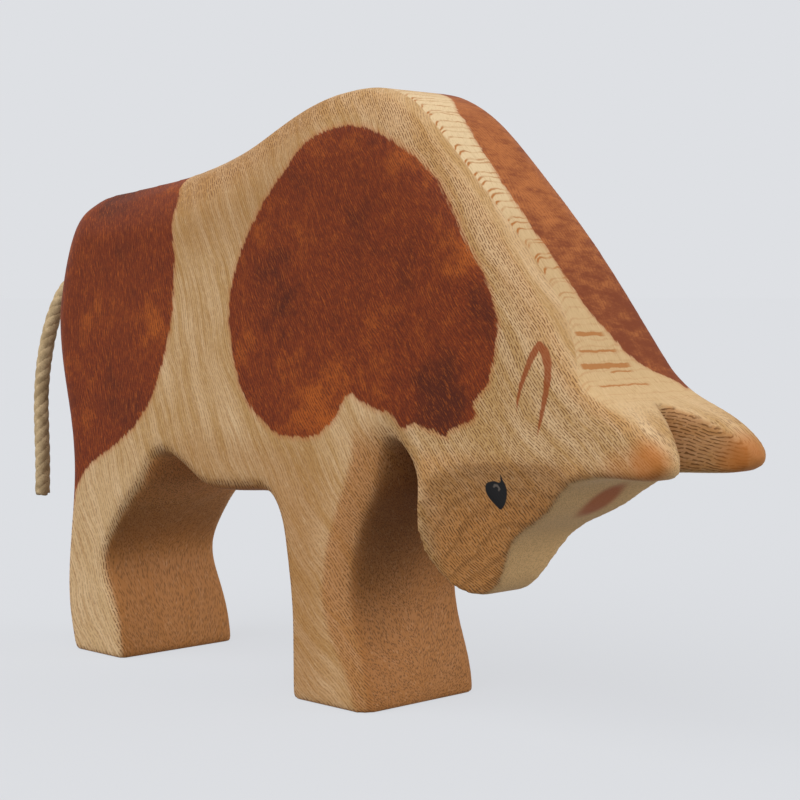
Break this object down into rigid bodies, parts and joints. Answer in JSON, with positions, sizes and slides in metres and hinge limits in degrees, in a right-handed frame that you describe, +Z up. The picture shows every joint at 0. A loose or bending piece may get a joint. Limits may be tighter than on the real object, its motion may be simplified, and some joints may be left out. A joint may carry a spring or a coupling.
{
  "type": "bull figurine",
  "caption": "Carved wooden bull with a lowered head and short horns, sawn from a plank and standing on broad feet, with brown painted patches and a twisted cord tail; a toy or shelf ornament.",
  "frame": {"origin": "on the floor, under the middle of the body's box", "axes": "+X the way the bull faces, +Y its left side, +Z up"},
  "size_m": [0.1795, 0.03, 0.1126],
  "materials": {
    "wood": "bare pale hardwood with brown stain patches, matt",
    "cord": "twisted natural fibre, matt",
    "glue": "cured wood glue, clear amber"
  },
  "bodies": {
    "root": {"body": "wood", "tail_cord": "cord", "tail_glue": "glue"}
  },
  "joints": []
}
